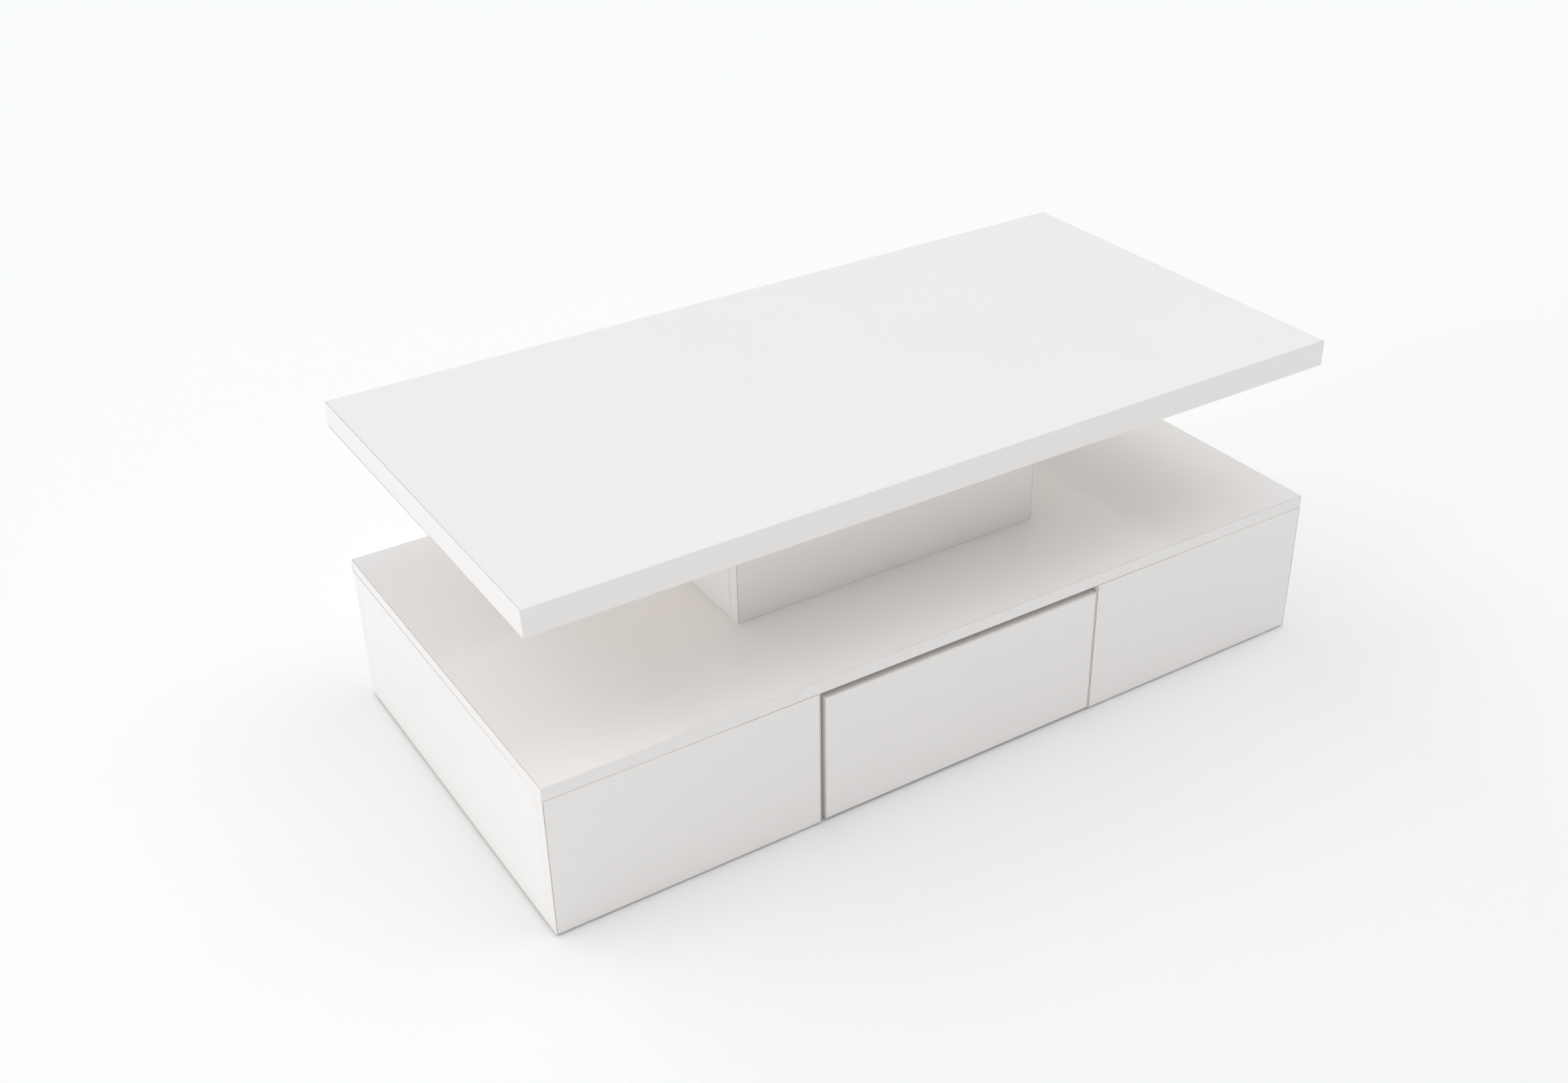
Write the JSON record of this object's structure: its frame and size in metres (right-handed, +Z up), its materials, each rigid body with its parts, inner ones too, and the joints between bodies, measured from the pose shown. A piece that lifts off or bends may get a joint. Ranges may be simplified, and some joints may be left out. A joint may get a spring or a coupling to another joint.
{
  "type": "lift-top coffee table",
  "caption": "White board coffee table with a drawer in its low carcass, a box pedestal on the shelf, and a thick top that spring-assisted arms lift up and forward.",
  "frame": {"origin": "on the floor, under the middle of the table", "axes": "+X to the right along the length, seen from the drawer side; the drawer faces -Y; +Z up"},
  "size_m": [1.2, 0.6, 0.465],
  "materials": {
    "white_melamine": "melamine-faced chipboard, semi-gloss white",
    "drawer_board": "foil-wrapped white drawer board, satin",
    "white_hardboard": "lacquered white hardboard, satin",
    "edge_band": "white ABS edge banding, semi-gloss",
    "raw_chipboard": "raw chipboard, matte",
    "beech": "turned beech, raw",
    "zinc_casting": "die-cast zinc, satin",
    "zinc_plated_steel": "bright zinc plating",
    "slide_steel": "cold-rolled, bright zinc plating",
    "bright_steel": "turned and polished",
    "spring_steel": "oil-hardened spring wire, dark",
    "black_steel": "black powder coat, fine texture",
    "black_nylon": "moulded nylon",
    "white_nylon": "moulded nylon",
    "clear_rubber": "soft translucent bumper"
  },
  "bodies": {
    "root": {"back_panel": "white_melamine", "board_screws": "zinc_plated_steel", "bottom_panel": "white_melamine", "cam_bolts": "zinc_plated_steel", "cam_housings": "zinc_casting", "carcass_edge_bands": "edge_band", "dowels": "beech", "floor_glides": "white_nylon", "left_divider": "white_melamine", "left_front_panel": "white_melamine", "left_lift_base_plate": "black_steel", "left_side_panel": "white_melamine", "lift_base_screws": "zinc_plated_steel", "lift_front_pivot_pins": "bright_steel", "lift_shaft_bushes": "black_nylon", "pedestal_back": "white_melamine", "pedestal_edge_bands": "edge_band", "pedestal_front": "white_melamine", "pedestal_left_side": "white_melamine", "pedestal_right_side": "white_melamine", "right_divider": "white_melamine", "right_front_panel": "white_melamine", "right_lift_base_plate": "black_steel", "right_side_panel": "white_melamine", "shelf_edge_bands": "edge_band", "shelf_panel": "white_melamine", "slide_cabinet_members": "slide_steel", "slide_cabinet_screws": "zinc_plated_steel", "spring_anchor_and_stop_pins": "bright_steel", "top_bumpers": "clear_rubber", "torsion_springs": "spring_steel"},
    "drawer": {"drawer_bottom": "white_hardboard", "drawer_box_back": "drawer_board", "drawer_box_front": "drawer_board", "drawer_box_screws": "zinc_plated_steel", "drawer_front": "white_melamine", "drawer_front_edge_bands": "edge_band", "drawer_front_screws": "zinc_plated_steel", "drawer_left_side": "drawer_board", "drawer_right_side": "drawer_board", "slide_drawer_members": "slide_steel", "slide_drawer_screws": "zinc_plated_steel"},
    "slide_middles": {"slide_middle_members": "slide_steel"},
    "outer_ball_cages": {"slide_outer_ball_cages": "bright_steel"},
    "inner_ball_cages": {"slide_inner_ball_cages": "bright_steel"},
    "rear_arm_frame": {"rear_arms": "black_steel", "rear_cross_shaft": "bright_steel", "spring_collars": "black_steel"},
    "front_arm_pair": {"front_arms": "black_steel"},
    "top": {"left_top_bracket": "black_steel", "right_top_bracket": "black_steel", "lift_upper_pivot_pins": "bright_steel", "top_bracket_screws": "zinc_plated_steel", "top_upper_skin": "white_melamine", "top_lower_skin": "white_melamine", "top_long_rails": "raw_chipboard", "top_end_rails": "raw_chipboard", "top_core_ribs": "raw_chipboard", "top_mounting_blocks": "raw_chipboard", "top_edge_bands": "edge_band"}
  },
  "joints": [
    {"name": "drawer_slide", "type": "slide", "parent": "root", "child": "drawer", "axis": [0, -1, 0], "range_m": [0, 0.45]},
    {"name": "middle_member_travel", "type": "slide", "parent": "root", "child": "slide_middles", "axis": [0, -1, 0], "range_m": [0, 0.225]},
    {"name": "outer_cage_travel", "type": "slide", "parent": "root", "child": "outer_ball_cages", "axis": [0, -1, 0], "range_m": [0, 0.1125]},
    {"name": "inner_cage_travel", "type": "slide", "parent": "root", "child": "inner_ball_cages", "axis": [0, -1, 0], "range_m": [0, 0.3375]},
    {"name": "lift_hinge", "type": "hinge", "parent": "root", "child": "rear_arm_frame", "pos_m": [0, -0.035, 0.298], "axis": [1, 0, 0], "range_deg": [0, 127], "stiffness_Nm_per_rad": 4.146, "springref_deg": 128.92, "deforming": ["torsion_springs"]},
    {"name": "front_arm_hinge", "type": "hinge", "parent": "root", "child": "front_arm_pair", "pos_m": [0, -0.075, 0.348], "axis": [1, 0, 0], "range_deg": [0, 127]},
    {"name": "top_hinge", "type": "hinge", "parent": "rear_arm_frame", "child": "top", "pos_m": [0, 0.07829, 0.24517], "axis": [1, 0, 0], "range_deg": [-127, 0]}
  ],
  "couplings": [
    {"joint": "middle_member_travel", "follows": "drawer_slide", "ratio": 0.5},
    {"joint": "outer_cage_travel", "follows": "drawer_slide", "ratio": 0.25},
    {"joint": "inner_cage_travel", "follows": "drawer_slide", "ratio": 0.75},
    {"joint": "front_arm_hinge", "follows": "lift_hinge", "ratio": 1},
    {"joint": "top_hinge", "follows": "lift_hinge", "ratio": -1}
  ]
}
